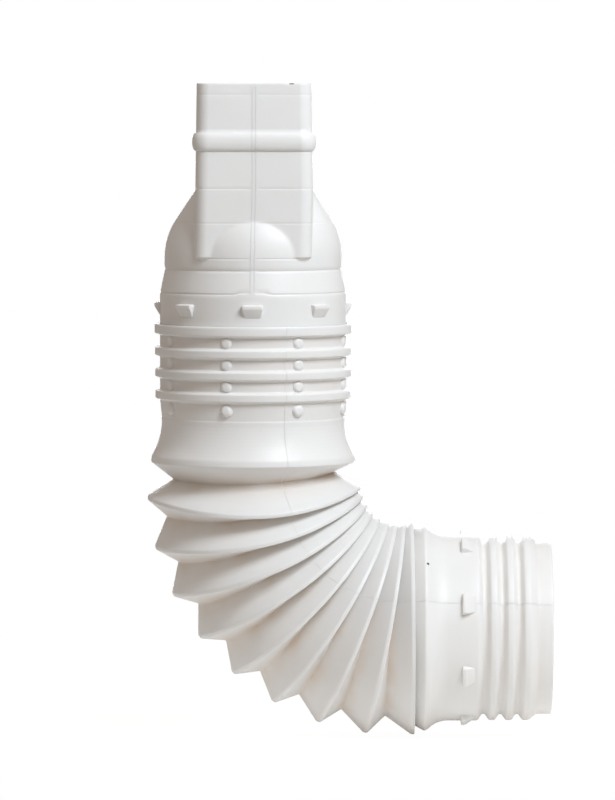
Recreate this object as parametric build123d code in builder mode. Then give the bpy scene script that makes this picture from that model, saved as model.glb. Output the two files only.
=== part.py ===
"""Flexible downspout extension: a rectangular-to-round adapter snapped into a bellows elbow."""

import os
from math import cos, hypot, radians, sin, tan

from build123d import *

# Sizes are in millimetres and degrees. Z is up and the origin is the centre of the inlet's top rim.
# A "drop" is a depth below that rim, and a "run" is a distance along the outlet from the bend's centre.

# Walls and fits
wall = 1.5
bellows_wall = 0.9
snap_clearance = 0.3

# Rectangular inlet, which slips over a downspout of 2 by 3 inches
inlet_width = 64.5
inlet_depth = 87.5
inlet_corner = 7.0
inlet_overrun = 2.0
bead_drop = 27.0
bead_height = 10.2
bead_proud = 2.1
bead_chamfer = 2.0

# Dome between the rectangle and the round end, a steep cone and a nearly upright one
dome_top_drop = 56.5
dome_top_radius = 31.2
dome_cone_height = 23.0
dome_break_radius = 45.8
dome_skirt_height = 15.5
dome_radius = 49.3
neck_height = 8.3

# Round band with snap lugs, the same at both spigots
shoulder_proud = 3.6
shoulder_run = 2.6
lug_count = 8
lug_length = 7.6
lug_proud = 3.1
lug_ledge_width = 12.4
lug_tip_width = 9.4

# Adapter's band
neck_flare = 13.4
adapter_band_length = 16.9
adapter_lug_lead = 4.5

# Socket, an open lip that takes the end of the adapter's band, and rings, the first of which takes the
# spigot's snap ring
lip_overlap = 0.3
lip_height = 4.8
socket_radius = 51.8
socket_ring_proud = 2.8
socket_ring_crest = 3.4
socket_ring_count = 3
ring_pitch = 12.0
ring_flank = 31.0
socket_tail = 14.1
socket_end_taper = 1.0
nub_count = 8
nub_sides = 8
nub_radius = 3.3
nub_height = 1.8
nub_taper = 37.0
nub_turn = -16.0

# Ringed spigot, the same section at both ends, with its play inside the socket's wall and rings
spigot_play = 2.1
spigot_ring_play = 1.6
spigot_tail = 14.1

# Skirt from the socket to the first ridge
skirt_height = 20.2
skirt_edge_height = 3.3
skirt_edge_rise = 0.5
first_ridge_radius = 56.9

# Bellows, bent about an axis along Y: each fold is a stiff long cone from valley to ridge,
# and a short cone that closes it to the next valley and opens on the outside of the bend
bend_offset = 0.5
bend_lead = 13.3
fold_count = 9
first_fold_angle = 2.7
fold_angle = 10.95
ridge_radius = 59.4
reach_start = 87.6
reach_end = 79.7
reach_ease = 1.6
first_valley_depth = 14.9
first_valley_lead = 9.7
valley_depth = 10.4
valley_lead = 15.4
valley_step = 0.4
throat_reach = 2.4
flank_overrun = 3.0

# Outlet
last_ridge_run = 7.1
last_ridge_radius = 57.6
outlet_edge_run = 2.1
outlet_edge_fall = 1.2
outlet_flare = 9.1
outlet_band_length = 18.3
outlet_lug_lead = 8.6
outlet_first_ring = 8.1
outlet_ring_pitch = 9.3
outlet_ring_count = 3
outlet_lug_turn = 15.5

# Flank of every ring: how far it leans for each millimetre of height, and the wall across it
flank_lean = tan(radians(ring_flank))
flank_wall = wall / cos(radians(ring_flank))

# Radii of the socket, and of the spigots that go in it
socket_ring_radius = socket_radius + socket_ring_proud
socket_end_radius = socket_radius - socket_end_taper
spigot_radius = socket_radius - wall - spigot_play
spigot_ring_radius = socket_ring_radius - wall - spigot_ring_play
band_radius = spigot_radius + shoulder_proud

# Inside of a socket ring, and the spigot ring that seats in it
groove_radius = socket_ring_radius - wall
groove_half = socket_ring_crest / 2 + wall * flank_lean - flank_wall
seat_half = groove_half + (groove_radius - spigot_ring_radius) * flank_lean
spigot_ring_half = seat_half - snap_clearance / cos(radians(ring_flank))

# Drops down the adapter
dome_break_drop = dome_top_drop + dome_cone_height
dome_drop = dome_break_drop + dome_skirt_height
inlet_length = dome_drop + inlet_overrun
neck_drop = dome_drop + neck_height
adapter_band_drop = neck_drop + neck_flare
adapter_band_end = adapter_band_drop + adapter_band_length

# Drops down the socket and the skirt, and the radii of the folds
lip_drop = adapter_band_end - lip_overlap
lip_station = lip_drop + lip_height - socket_ring_crest / 2
socket_stations = [lip_station + ring_pitch * (i + 1) for i in range(socket_ring_count)]
socket_drop = socket_stations[-1] + socket_tail
skirt_drop = socket_drop + skirt_height
first_ridge_drop = skirt_drop + skirt_edge_height
skirt_radius = first_ridge_radius - skirt_edge_rise
first_valley_radius = ridge_radius - first_valley_depth
valley_radius = ridge_radius - valley_depth

# Centre of the bend, and runs along the outlet
bend_x = reach_start + bend_offset
bend_drop = first_ridge_drop + bend_lead
outlet_drop = bend_drop + reach_end
flare_start_run = last_ridge_run + outlet_edge_run
flare_start_radius = last_ridge_radius - outlet_edge_fall
outlet_band_run = flare_start_run + outlet_flare
outlet_band_end = outlet_band_run + outlet_band_length
outlet_stations = [
    outlet_band_end + outlet_first_ring + outlet_ring_pitch * i
    for i in range(outlet_ring_count)
]
outlet_end = outlet_stations[-1] + spigot_tail


def ring_points(station, crest_half, crest_radius, root_radius, inset=0.0):
    """Corners (run, radius) of one ring with sloped flanks, on the skin `inset` inside the outer one."""
    crest = crest_half + inset * flank_lean - inset * flank_wall / wall
    root = crest + (crest_radius - root_radius) * flank_lean
    return [
        (station - root, root_radius - inset),
        (station - crest, crest_radius - inset),
        (station + crest, crest_radius - inset),
        (station + root, root_radius - inset),
    ]


def spigot_skin(band_start, band_end, stations, end):
    """Corners (run, radius) of the outside of a lug band, its shoulder, the rings and the plain end."""
    points = [(band_start, band_radius)]
    points.append((band_end, band_radius))
    points.append((band_end + shoulder_run, spigot_radius))
    for station in stations:
        points += ring_points(station, spigot_ring_half, spigot_ring_radius, spigot_radius)
    points.append((end, spigot_radius))
    return points


def spigot_bore(band_start, band_end, end):
    """Corners (run, radius) of the inside of a lug band and its plain spigot."""
    return [
        (band_start, band_radius - wall),
        (band_end - wall, band_radius - wall),
        (band_end + shoulder_run - wall, spigot_radius - wall),
        (end, spigot_radius - wall),
    ]


def socket_skin(inset):
    """Corners (drop, radius) of one skin of the socket and its skirt, from the open lip down."""
    crest_half = socket_ring_crest / 2
    points = [(lip_drop, socket_ring_radius - inset)]
    points += ring_points(lip_station, crest_half, socket_ring_radius, socket_radius, inset)[2:]
    for station in socket_stations:
        points += ring_points(station, crest_half, socket_ring_radius, socket_radius, inset)
    points.append((socket_drop, socket_end_radius - inset))
    points.append((skirt_drop, skirt_radius - inset))
    return points


def turned_below(points):
    """Draw a profile of (drop, radius) corners, closed on the vertical axis."""
    corners = [(radius, -drop) for drop, radius in points]
    Polyline((0, corners[0][1]), *corners, (0, corners[-1][1]), close=True)


def turned_along(points):
    """Draw a profile of (run, radius) corners, closed on the outlet's axis."""
    corners = [(bend_x + run, radius - outlet_drop) for run, radius in points]
    Polyline((corners[0][0], -outlet_drop), *corners, (corners[-1][0], -outlet_drop), close=True)


def snap_lugs(ledge_plane, turn):
    """Add a ring of wedge lugs: a flat ledge on the given plane, tapering along its normal."""
    sink = wall / 2
    tip_margin = (lug_ledge_width - lug_tip_width) / 2
    lug_planes = []
    for i in range(lug_count):
        angle = radians(turn + 360 / lug_count * i)
        radial = ledge_plane.x_dir * cos(angle) + ledge_plane.y_dir * sin(angle)
        foot = ledge_plane.origin + radial * (band_radius - sink)
        lug_planes.append(Plane(foot, x_dir=radial, z_dir=radial.cross(ledge_plane.z_dir)))
    with Locations(*lug_planes):
        Wedge(
            lug_proud + sink,
            lug_length,
            lug_ledge_width,
            0,
            tip_margin,
            sink,
            lug_ledge_width - tip_margin,
            align=(Align.MIN, Align.MIN, Align.CENTER),
        )


# Rectangular-to-round adapter, drawn as a filled outer form and then hollowed by its inner skin
with BuildPart() as downspout_adapter:
    with BuildSketch(Plane.XY.offset(-bead_drop)):
        RectangleRounded(
            inlet_width + 2 * bead_proud,
            inlet_depth + 2 * bead_proud,
            inlet_corner + bead_proud,
        )
    extrude(amount=-bead_height)
    bead_faces = downspout_adapter.faces().sort_by(Axis.Z)
    chamfer(bead_faces[0].edges() + bead_faces[-1].edges(), bead_chamfer)
    with BuildSketch(Plane.XY):
        RectangleRounded(inlet_width, inlet_depth, inlet_corner)
    extrude(amount=-inlet_length)
    dome_points = [
        (dome_top_drop, dome_top_radius),
        (dome_break_drop, dome_break_radius),
        (dome_drop, dome_radius),
        (neck_drop, dome_radius),
    ]
    with BuildSketch(Plane.XZ):
        with BuildLine():
            turned_below(
                dome_points
                + spigot_skin(adapter_band_drop, adapter_band_end, socket_stations[:1], socket_drop)
            )
        make_face()
    revolve(axis=Axis.Z)
    ledge_drop = adapter_band_drop + adapter_lug_lead
    snap_lugs(Plane((0, 0, -ledge_drop), x_dir=(0, -1, 0), z_dir=(0, 0, -1)), 0)
    with BuildSketch(Plane.XY):
        RectangleRounded(inlet_width - 2 * wall, inlet_depth - 2 * wall, inlet_corner - wall)
    extrude(amount=wall - inlet_length, mode=Mode.SUBTRACT)
    with BuildSketch(Plane.XY.offset(-bead_drop - wall)):
        RectangleRounded(
            inlet_width + 2 * (bead_proud - wall),
            inlet_depth + 2 * (bead_proud - wall),
            inlet_corner + bead_proud - wall,
        )
    extrude(amount=2 * wall - bead_height, mode=Mode.SUBTRACT)
    with BuildSketch(Plane.XZ):
        with BuildLine():
            turned_below(
                [(drop + wall / 2, radius - wall) for drop, radius in dome_points]
                + spigot_bore(adapter_band_drop, adapter_band_end, socket_drop)
            )
        make_face()
    revolve(axis=Axis.Z, mode=Mode.SUBTRACT)


def fold_reach(fold):
    """Distance from the bend's axis to the centre of a ridge, tightening towards the outlet."""
    share = (fold - 1) / (fold_count - 1)
    return reach_start - (reach_start - reach_end) * share**reach_ease


def ridge_plane(fold):
    """Plane of a ridge, X out of the bend and Z along the flow: the skirt's, the folds', the outlet's."""
    if fold == 0:
        return Plane((0, 0, -first_ridge_drop), x_dir=(-1, 0, 0), z_dir=(0, 0, -1))
    if fold > fold_count:
        return Plane((bend_x + last_ridge_run, 0, -outlet_drop), x_dir=(0, 0, -1), z_dir=(1, 0, 0))
    angle = radians(first_fold_angle + fold_angle * (fold - 1))
    outward = Vector(-cos(angle), 0, -sin(angle))
    along = Vector(sin(angle), 0, -cos(angle))
    return Plane(Vector(bend_x, 0, -bend_drop) + outward * fold_reach(fold), x_dir=outward, z_dir=along)


def fold_sizes(fold):
    """Ridge radius, valley radius and length along the flow of a fold's long flank."""
    if fold == 0:
        return first_ridge_radius, skirt_radius, first_ridge_drop - skirt_drop
    if fold == 1:
        return ridge_radius, first_valley_radius, first_valley_lead
    if fold > fold_count:
        return last_ridge_radius, valley_radius, valley_lead
    return ridge_radius, valley_radius, valley_lead


def flank_radius(fold, lead, inset):
    """Radius of a long flank, `lead` before its ridge, on the skin `inset` inside the outer one."""
    crest, foot, length = fold_sizes(fold)
    slope = (crest - foot) / length
    return crest - slope * lead - inset * hypot(1, slope)


def long_flank(fold, inset, mode):
    """Add or cut one fold's long flank, filled; a cut goes on through the valley's wall."""
    start = fold_sizes(fold)[2]
    if inset and fold > 0:
        start += throat_reach
    with Locations(ridge_plane(fold).offset(-inset)):
        Cone(
            flank_radius(fold, start, inset),
            flank_radius(fold, inset, inset),
            start - inset,
            align=(Align.CENTER, Align.CENTER, Align.MAX),
            mode=mode,
        )


def short_flank(fold, inset):
    """One fold's short flank, filled: a cone from its ridge that ends on the plane of the next valley."""
    ridge = ridge_plane(fold)
    crest = fold_sizes(fold)[0]
    foot_radius, lead = fold_sizes(fold + 1)[1:]
    valley = ridge_plane(fold + 1).offset(-lead)
    foot = ridge.to_local_coords(valley.origin + valley.x_dir * (foot_radius + valley_step))
    slope = (crest - foot.X) / foot.Z
    run = foot.Z + flank_overrun
    with BuildPart() as flank:
        with Locations(ridge.offset(-inset)):
            Cone(
                flank_radius(fold, inset, inset),
                crest - slope * run - inset * hypot(1, slope),
                run + inset,
                align=(Align.CENTER, Align.CENTER, Align.MIN),
            )
        split(bisect_by=valley.offset(-inset), keep=Keep.BOTTOM)
    return flank.part


outer_short_flanks = [short_flank(fold, 0.0) for fold in range(fold_count)]
inner_short_flanks = [short_flank(fold, bellows_wall) for fold in range(fold_count)]

# Socket, skirt, bent bellows and outlet moulded in one: a filled outer form, then hollowed
with BuildPart() as flexible_elbow:
    with BuildSketch(Plane.XZ):
        with BuildLine():
            turned_below(socket_skin(0.0))
        make_face()
    revolve(axis=Axis.Z)
    outlet_axis = Axis((0, 0, -outlet_drop), (1, 0, 0))
    flare_points = [(last_ridge_run, last_ridge_radius), (flare_start_run, flare_start_radius)]
    with BuildSketch(Plane.XZ):
        with BuildLine():
            turned_along(
                flare_points
                + spigot_skin(outlet_band_run, outlet_band_end, outlet_stations, outlet_end)
            )
        make_face()
    revolve(axis=outlet_axis)
    for fold in range(fold_count + 2):
        long_flank(fold, 0.0, Mode.ADD)
    add(outer_short_flanks)

    with BuildSketch(Plane.XZ):
        with BuildLine():
            turned_below(socket_skin(wall))
        make_face()
    revolve(axis=Axis.Z, mode=Mode.SUBTRACT)
    bore_points = [
        (last_ridge_run - bellows_wall, flank_radius(fold_count + 1, bellows_wall, bellows_wall)),
        (flare_start_run, flare_start_radius - wall),
    ]
    with BuildSketch(Plane.XZ):
        with BuildLine():
            turned_along(bore_points + spigot_bore(outlet_band_run, outlet_band_end, outlet_end))
        make_face()
    revolve(axis=outlet_axis, mode=Mode.SUBTRACT)
    for fold in range(fold_count + 2):
        long_flank(fold, bellows_wall, Mode.SUBTRACT)
    add(inner_short_flanks, mode=Mode.SUBTRACT)

    ledge_run = outlet_band_run + outlet_lug_lead
    snap_lugs(
        Plane((bend_x + ledge_run, 0, -outlet_drop), x_dir=(0, -1, 0), z_dir=(1, 0, 0)),
        -outlet_lug_turn,
    )
    nub_sink = wall / 2
    nub_planes = []
    for station in [lip_station, *socket_stations]:
        valley = Plane((0, 0, -station - ring_pitch / 2), x_dir=(0, -1, 0), z_dir=(0, 0, 1))
        for i in range(nub_count):
            radial = valley.rotated((0, 0, nub_turn + 360 / nub_count * i))
            foot = radial.origin + radial.x_dir * (socket_radius - nub_sink)
            nub_planes.append(Plane(foot, x_dir=radial.z_dir, z_dir=radial.x_dir))
    with BuildSketch(*nub_planes):
        RegularPolygon(nub_radius, nub_sides)
    extrude(amount=nub_height + nub_sink, taper=nub_taper)

os.makedirs("parts", exist_ok=True)
downspout_adapter.part.label = "downspout_adapter"
export_step(downspout_adapter.part, "parts/downspout_adapter.step")
flexible_elbow.part.label = "flexible_elbow"
export_step(flexible_elbow.part, "parts/flexible_elbow.step")
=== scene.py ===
"""Flexible downspout extension: blow-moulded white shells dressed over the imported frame.

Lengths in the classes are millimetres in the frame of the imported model: Z up, X along the outlet, and
-Y towards the viewer. A "drop" is a depth below the inlet's rim, and a "run" is a distance along the
outlet from the bend's axis. Meshes are written in metres.
"""

import logging
from collections.abc import Callable
from dataclasses import dataclass
from enum import Enum

import bmesh
import bpy
import numpy as np
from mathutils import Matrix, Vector

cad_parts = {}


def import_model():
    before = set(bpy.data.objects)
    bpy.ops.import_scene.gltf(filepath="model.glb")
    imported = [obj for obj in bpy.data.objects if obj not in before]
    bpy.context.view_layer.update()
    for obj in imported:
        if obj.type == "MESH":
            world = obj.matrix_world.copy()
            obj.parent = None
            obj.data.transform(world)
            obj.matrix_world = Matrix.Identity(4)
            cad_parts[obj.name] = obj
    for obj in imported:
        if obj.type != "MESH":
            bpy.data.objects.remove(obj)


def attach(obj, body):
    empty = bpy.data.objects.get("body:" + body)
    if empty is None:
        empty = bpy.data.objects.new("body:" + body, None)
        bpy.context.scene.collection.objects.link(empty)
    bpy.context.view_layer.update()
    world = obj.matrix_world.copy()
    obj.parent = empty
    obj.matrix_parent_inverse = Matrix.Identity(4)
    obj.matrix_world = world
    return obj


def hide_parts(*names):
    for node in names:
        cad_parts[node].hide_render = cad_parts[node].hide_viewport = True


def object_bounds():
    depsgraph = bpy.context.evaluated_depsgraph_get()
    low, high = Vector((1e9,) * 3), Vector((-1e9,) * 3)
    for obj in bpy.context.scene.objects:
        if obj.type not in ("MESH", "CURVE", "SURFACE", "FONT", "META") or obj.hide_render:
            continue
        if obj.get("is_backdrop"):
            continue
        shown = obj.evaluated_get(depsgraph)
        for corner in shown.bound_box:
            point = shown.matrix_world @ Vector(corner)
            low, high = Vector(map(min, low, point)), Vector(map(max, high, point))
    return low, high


LOG = logging.getLogger("downspout_extension")
METRES_PER_MM = 0.001
ACROSS = np.array([0.0, 1.0, 0.0])
# Keeps a divisor off zero
TINY = 1e-9
# Largest share of a straight run that the rounding at one of its ends may take
LARGEST_CUT = 0.46
# Size of the marks that ride along as extra axes, too small to add to a length
MARK_SCALE = 1e-9


class Body(Enum):
    """Bodies of the frame that the pieces ride on."""

    ADAPTER = "adapter"
    ELBOW = "elbow"


class Slot(Enum):
    """Material slots of the record."""

    ADAPTER = "adapter_plastic"
    ELBOW = "elbow_plastic"


def linear_rgba(hex_colour: str) -> tuple[float, float, float, float]:
    """Turn an sRGB hex colour into linear light.

    Args:
        hex_colour: Six hex digits, with or without a leading hash.

    Returns:
        Linear red, green and blue, and an alpha of 1.
    """
    digits = hex_colour.lstrip("#")
    channels = [int(digits[i : i + 2], 16) / 255 for i in (0, 2, 4)]
    linear = [c / 12.92 if c <= 0.04045 else ((c + 0.055) / 1.055) ** 2.4 for c in channels]
    return (linear[0], linear[1], linear[2], 1.0)


def add_node(
    tree: bpy.types.NodeTree,
    kind: str,
    settings: dict[str, object] | None = None,
    values: dict[str | int, object] | None = None,
    links: dict[str | int, bpy.types.NodeSocket] | None = None,
) -> bpy.types.Node:
    """Add a node with its settings, input values and incoming links.

    Args:
        tree: Node tree that takes the node.
        kind: The node's type name.
        settings: Properties of the node itself.
        values: Values for unlinked inputs, by name or index.
        links: Sockets that feed the inputs, by name or index.

    Returns:
        The new node.
    """
    node = tree.nodes.new(kind)
    for key, value in (settings or {}).items():
        setattr(node, key, value)
    for key, value in (values or {}).items():
        node.inputs[key].default_value = value
    for key, socket in (links or {}).items():
        tree.links.new(socket, node.inputs[key])
    return node


@dataclass(frozen=True)
class MouldedPlastic:
    """White polyethylene, blow-moulded: satin, faintly cloudy, with a soft skin, and dust and painted shade
    in its folds.

    The hot tube freezes against a blasted mould, which leaves a low sheen, a slightly uneven skin and
    wall, and a milky edge where light soaks in.
    """

    name: str = "blow_moulded_polyethylene"
    colour: str = "#f0f0ef"
    cloud_colour: str = "#eae9e7"
    dust_and_shade_colour: str = "#d6bda2"
    cloud_mm: float = 38.0
    skin_mm: float = 2.2
    wave_mm: float = 16.0
    roughness_low: float = 0.36
    roughness_high: float = 0.48
    skin_height_mm: float = 0.03
    wave_height_mm: float = 0.16
    dust_and_shade_share: float = 0.8
    sheen_level: float = 0.42
    ior: float = 1.51
    soak_weight: float = 0.15
    soak_mm: float = 3.0
    soak_reach: tuple[float, float, float] = (1.0, 0.9, 0.75)

    def build(self) -> bpy.types.Material:
        """Make the material.

        The colour drifts between two whites by a broad noise, and towards a warm tan by the point attribute
        "dust_and_shade", broken up by the waviness noise: dust and painted shade in the grooves, and a tan
        tint at the bottom edges. Two noises, one as fine as the skin and one as broad as the wall's
        waviness, bump it. The skin's real grain is finer than a pixel, so it is drawn coarser.

        Returns:
            The new material.
        """
        material = bpy.data.materials.new(self.name)
        material.use_nodes = True
        tree = material.node_tree
        shader = tree.nodes["Principled BSDF"]
        place = add_node(tree, "ShaderNodeTexCoord").outputs["Object"]
        cloud = self.noise(tree, place, self.cloud_mm, detail=3.0)
        skin = self.noise(tree, place, self.skin_mm, detail=2.0)
        wave = self.noise(tree, place, self.wave_mm, detail=1.0)
        whites = add_node(
            tree,
            "ShaderNodeMix",
            {"data_type": "RGBA"},
            {6: linear_rgba(self.colour), 7: linear_rgba(self.cloud_colour)},
            {0: cloud},
        )
        # Painted shade: the tan tint darkens the grooves and ring roots, where shade falls, together with
        # real dust there; it also tints the bottom edges
        dust_and_shade = add_node(tree, "ShaderNodeAttribute", {"attribute_name": "dust_and_shade"})
        patchy = add_node(
            tree,
            "ShaderNodeMath",
            {"operation": "MULTIPLY"},
            links={0: dust_and_shade.outputs["Fac"], 1: wave},
        )
        dust_and_shade_amount = add_node(
            tree,
            "ShaderNodeMath",
            {"operation": "MULTIPLY"},
            {1: self.dust_and_shade_share},
            {0: patchy.outputs[0]},
        )
        colour = add_node(
            tree,
            "ShaderNodeMix",
            {"data_type": "RGBA"},
            {7: linear_rgba(self.dust_and_shade_colour)},
            {0: dust_and_shade_amount.outputs[0], 6: whites.outputs[2]},
        )
        sheen = add_node(
            tree,
            "ShaderNodeMapRange",
            values={3: self.roughness_low, 4: self.roughness_high},
            links={0: cloud},
        )
        waviness = add_node(
            tree,
            "ShaderNodeBump",
            values={"Strength": 1.0, "Distance": self.wave_height_mm * METRES_PER_MM},
            links={"Height": wave},
        )
        grain = add_node(
            tree,
            "ShaderNodeBump",
            values={"Strength": 1.0, "Distance": self.skin_height_mm * METRES_PER_MM},
            links={"Height": skin, "Normal": waviness.outputs[0]},
        )
        tree.links.new(colour.outputs[2], shader.inputs["Base Color"])
        tree.links.new(sheen.outputs[0], shader.inputs["Roughness"])
        tree.links.new(grain.outputs[0], shader.inputs["Normal"])
        shader.inputs["IOR"].default_value = self.ior
        shader.inputs["Specular IOR Level"].default_value = self.sheen_level
        shader.inputs["Subsurface Weight"].default_value = self.soak_weight
        shader.inputs["Subsurface Radius"].default_value = self.soak_reach
        shader.inputs["Subsurface Scale"].default_value = self.soak_mm * METRES_PER_MM
        return material

    def noise(
        self, tree: bpy.types.NodeTree, place: bpy.types.NodeSocket, size_mm: float, detail: float
    ) -> bpy.types.NodeSocket:
        """Noise whose blotches are about the given size.

        Args:
            tree: Node tree that takes the node.
            place: Coordinates in metres.
            size_mm: Size of one blotch.
            detail: Octaves of finer noise on top.

        Returns:
            The noise's value, about 0 to 1.
        """
        scale = 1.0 / (size_mm * METRES_PER_MM)
        values = {"Scale": scale, "Detail": detail, "Roughness": 0.5}
        return add_node(tree, "ShaderNodeTexNoise", values=values, links={"Vector": place}).outputs[0]


@dataclass(frozen=True)
class GritAndShade:
    """Dark, rough and slightly brown: dry soil grit stuck to the plastic, and painted shade in the nick of
    the inlet's rim.
    """

    name: str = "soil_grit_and_painted_shade"
    colour: str = "#3a342d"
    grain_colour: str = "#6b6156"
    grain_mm: float = 0.4
    roughness: float = 0.9

    def build(self) -> bpy.types.Material:
        """Make the material, whose brown is broken up by a fine noise.

        Returns:
            The new material.
        """
        material = bpy.data.materials.new(self.name)
        material.use_nodes = True
        tree = material.node_tree
        shader = tree.nodes["Principled BSDF"]
        place = add_node(tree, "ShaderNodeTexCoord").outputs["Object"]
        grain = add_node(
            tree,
            "ShaderNodeTexNoise",
            values={"Scale": 1.0 / (self.grain_mm * METRES_PER_MM)},
            links={"Vector": place},
        )
        colour = add_node(
            tree,
            "ShaderNodeMix",
            {"data_type": "RGBA"},
            {6: linear_rgba(self.colour), 7: linear_rgba(self.grain_colour)},
            {0: grain.outputs[0]},
        )
        tree.links.new(colour.outputs[2], shader.inputs["Base Color"])
        shader.inputs["Roughness"].default_value = self.roughness
        return material


def full_turn(sides: int) -> np.ndarray:
    """Angles that divide a full turn evenly, in radians, from 0."""
    return np.arange(sides) * 2 * np.pi / sides


def even_turns(count: int, first: float = 0.0) -> np.ndarray:
    """Angles of copies spread evenly round a tube, in degrees, from the first."""
    return first + np.arange(count) * 360.0 / count


def signed_volume(points: np.ndarray, quads: np.ndarray) -> float:
    """Volume of a closed quad mesh, negative where its faces point inwards.

    Each quad counts as two triangles, and each triangle as a sixth of the triple product of its corners.

    Args:
        points: Vertices, one row each.
        quads: Four vertex numbers per face.

    Returns:
        The volume in cubic units of the points.
    """
    a, b, c, d = (points[quads[:, i]] for i in range(4))
    halves = np.einsum("ij,ij->i", a, np.cross(b, c)) + np.einsum("ij,ij->i", a, np.cross(c, d))
    return float(halves.sum() / 6.0)


def closed_grid(
    name: str,
    grid: np.ndarray,
    material: bpy.types.Material,
    dust_and_shade: np.ndarray | None = None,
) -> bpy.types.Object:
    """Make a mesh object of a grid that closes on itself in both directions.

    A grid whose first and last rows are single points is closed by those poles instead, and its doubled
    points are merged.

    Args:
        name: The object's name.
        grid: Points in millimetres, indexed by copy, row, point and axis, or without the copy.
        material: Finish of the whole piece.
        dust_and_shade: Weight of the tan tint at each point, 0 to 1, indexed like the grid: dust and
            painted shade in the grooves, and a tint at the bottom edges.

    Returns:
        The new object, at the origin.
    """
    copies = grid if grid.ndim == 4 else grid[None]
    count, rows, around, _ = copies.shape
    poles = bool(np.allclose(copies[:, 0], copies[:, 0, :1]))
    points = copies.reshape(-1, 3) * METRES_PER_MM
    number = np.arange(count * rows * around).reshape(count, rows, around)
    last = rows - 1 if poles else rows
    here = number[:, :last]
    below = np.roll(number, -1, axis=1)[:, :last]
    corners = [here, np.roll(here, -1, axis=2), np.roll(below, -1, axis=2), below]
    quads = np.stack(corners, axis=-1).reshape(-1, 4)
    if signed_volume(points, quads) < 0:
        quads = quads[:, ::-1]
    mesh = bpy.data.meshes.new(name)
    mesh.from_pydata(points.tolist(), [], quads.tolist())
    if dust_and_shade is not None:
        layer = mesh.attributes.new("dust_and_shade", "FLOAT", "POINT")
        layer.data.foreach_set("value", dust_and_shade.astype(np.float32).ravel())
    mesh.polygons.foreach_set("use_smooth", np.ones(len(mesh.polygons), dtype=bool))
    mesh.materials.append(material)
    piece = bpy.data.objects.new(name, mesh)
    bpy.context.scene.collection.objects.link(piece)
    if poles:
        merge_poles(mesh)
    mesh.validate()
    return piece


def merge_poles(mesh: bpy.types.Mesh) -> None:
    """Merge the doubled points at a mesh's poles, which turns the quads there into triangles."""
    work = bmesh.new()
    work.from_mesh(mesh)
    bmesh.ops.remove_doubles(work, verts=work.verts, dist=1e-7)
    work.to_mesh(mesh)
    work.free()


def rounded_rows(keys: np.ndarray, cuts: np.ndarray, turns: int, spans: int) -> np.ndarray:
    """Carry a profile through key rows, with its corners rounded.

    At a key row with a cut, the profile leaves the straight run that far before the corner and joins the
    next that far after it, on a quadratic curve with the corner as its control point. A cut stops short
    of the middle of a run. Between corners, the rows lie evenly on the straight run.

    Args:
        keys: Key rows, indexed by row, point and axis.
        cuts: Length cut from each side of each corner, 0 for a single row.
        turns: Steps round a corner.
        spans: Steps along a straight run.

    Returns:
        The finished rows.
    """
    legs = keys[1:] - keys[:-1]
    lengths = np.linalg.norm(legs, axis=-1, keepdims=True)
    share_after = np.minimum(cuts[:-1, None, None] / lengths, LARGEST_CUT)
    share_before = np.minimum(cuts[1:, None, None] / lengths, LARGEST_CUT)
    starts = np.concatenate([keys[:-1] + legs * share_after, keys[-1:]])
    ends = np.concatenate([keys[:1], keys[1:] - legs * share_before])
    bend = np.linspace(0.0, 1.0, turns + 1)[:, None, None]
    run = np.linspace(0.0, 1.0, spans + 1)[1:-1, None, None]
    rows = []
    for i, cut in enumerate(cuts):
        if cut > 0 and 0 < i < len(cuts) - 1:
            rows.append(ends[i] * (1 - bend) ** 2 + keys[i] * 2 * bend * (1 - bend) + starts[i] * bend**2)
        else:
            rows.append(keys[i][None])
        if i < len(cuts) - 1:
            rows.append(starts[i] * (1 - run) + ends[i + 1] * run)
    return np.concatenate(rows)


def grid_normals(rows: np.ndarray) -> np.ndarray:
    """Unit normals of a grid that closes round its points: the cross product of its two directions.

    Args:
        rows: Grid, indexed by row, point and axis.

    Returns:
        One unit vector for each point.
    """
    around = np.roll(rows, -1, axis=1) - np.roll(rows, 1, axis=1)
    along = np.gradient(rows, axis=0)
    normals = np.cross(around, along)
    return normals / np.maximum(np.linalg.norm(normals, axis=-1, keepdims=True), TINY)


def dress(piece: bpy.types.Object, body: Body) -> bpy.types.Object:
    """Let a piece ride on its body and report it.

    Args:
        piece: The finished piece.
        body: Body that carries it.

    Returns:
        The same piece.
    """
    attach(piece, body.value)
    LOG.info("%s: %d faces on %s", piece.name, len(piece.data.polygons), body.value)
    return piece


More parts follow.
